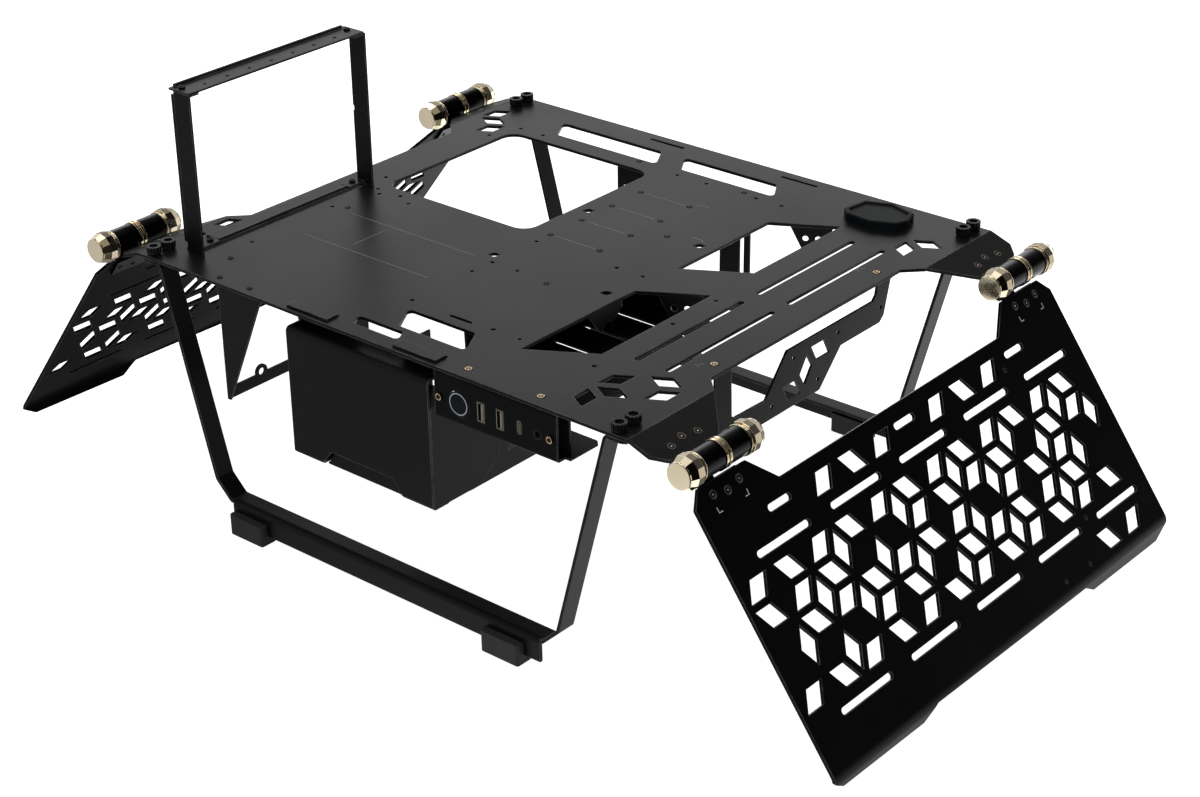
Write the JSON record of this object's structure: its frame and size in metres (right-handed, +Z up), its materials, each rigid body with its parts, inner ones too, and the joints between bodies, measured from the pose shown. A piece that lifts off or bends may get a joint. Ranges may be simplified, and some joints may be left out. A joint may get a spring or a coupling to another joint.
{
  "type": "open air test bench",
  "caption": "Open air computer test bench: a perforated black steel deck on bent strip legs, with fold-down honeycomb wings on gold-capped friction hinges and an expansion card frame.",
  "frame": {"origin": "floor level under the centre of the deck plate", "axes": "+X from the card frame towards the power button side (wing to wing), +Y towards the far long edge, +Z up"},
  "size_m": [0.7546, 0.4084, 0.3149],
  "materials": {
    "deck_powder_coat": "fine-grained satin powder coat",
    "wing_powder_coat": "fine-grained satin powder coat, a little darker than the deck",
    "hinge_black": "black anodised, satin",
    "hinge_cap_gold": "polished champagne gold anodised",
    "hinge_pin_gold": "champagne gold plated",
    "brass_screw": "bright countersunk heads",
    "black_screw": "black oxide, satin",
    "thumb_screw_black": "black anodised, satin",
    "socket_steel": "nickel plated sheet",
    "black_plastic": "matt black",
    "ring_plastic": "translucent pale light ring",
    "board_laminate": "matt black circuit board",
    "foot_rubber": "matt black rubber"
  },
  "bodies": {
    "bench": {"audio_jack": "black_plastic", "bracket_screws": "brass_screw", "card_bar": "deck_powder_coat", "card_post_far": "deck_powder_coat", "card_post_near": "deck_powder_coat", "card_rail": "deck_powder_coat", "card_screws": "black_screw", "cover_puck": "black_plastic", "deck_cap_left_far": "hinge_cap_gold", "deck_cap_left_near": "hinge_cap_gold", "deck_cap_right_far": "hinge_cap_gold", "deck_cap_right_near": "hinge_cap_gold", "deck_hinge_screws": "black_screw", "deck_leaf_left_far": "hinge_black", "deck_leaf_left_near": "hinge_black", "deck_leaf_right_far": "hinge_black", "deck_leaf_right_near": "hinge_black", "deck_plate": "deck_powder_coat", "drive_tray": "deck_powder_coat", "foot_far_left": "foot_rubber", "foot_far_right": "foot_rubber", "foot_near_left": "foot_rubber", "foot_near_right": "foot_rubber", "hanger_screws": "black_screw", "hanging_bracket": "deck_powder_coat", "hinge_pin_left_far": "hinge_pin_gold", "hinge_pin_left_near": "hinge_pin_gold", "hinge_pin_right_far": "hinge_pin_gold", "hinge_pin_right_near": "hinge_pin_gold", "io_board": "board_laminate", "io_housing": "deck_powder_coat", "leg_far": "deck_powder_coat", "leg_near": "deck_powder_coat", "panel_screws": "black_screw", "psu_bracket": "deck_powder_coat", "psu_cradle": "deck_powder_coat", "psu_rear_bracket": "deck_powder_coat", "pump_bracket": "deck_powder_coat", "thumb_screws": "thumb_screw_black", "usb_a_left": "socket_steel", "usb_a_right": "socket_steel", "usb_c": "socket_steel"},
    "right_wing_body": {"right_wing": "wing_powder_coat", "wing_cap_right_far": "hinge_cap_gold", "wing_cap_right_near": "hinge_cap_gold", "wing_leaf_right_far": "hinge_black", "wing_leaf_right_near": "hinge_black", "wing_screws_right": "black_screw"},
    "left_wing_body": {"left_wing": "wing_powder_coat", "wing_cap_left_far": "hinge_cap_gold", "wing_cap_left_near": "hinge_cap_gold", "wing_leaf_left_far": "hinge_black", "wing_leaf_left_near": "hinge_black", "wing_screws_left": "black_screw"},
    "button": {"button_ring": "ring_plastic", "power_button": "black_plastic"}
  },
  "joints": [
    {"name": "right_wing_hinge", "type": "hinge", "parent": "bench", "child": "right_wing_body", "pos_m": [0.261, 0, 0.1862], "axis": [0, -1, 0], "range_deg": [-4, 54]},
    {"name": "left_wing_hinge", "type": "hinge", "parent": "bench", "child": "left_wing_body", "pos_m": [-0.261, 0, 0.1862], "axis": [0, 1, 0], "range_deg": [-5.5, 52.5]},
    {"name": "power_button_press", "type": "slide", "parent": "bench", "child": "button", "axis": [0, 1, 0], "range_m": [0, 0.0009], "stiffness_N_per_m": 300, "springref_m": -0.002}
  ]
}
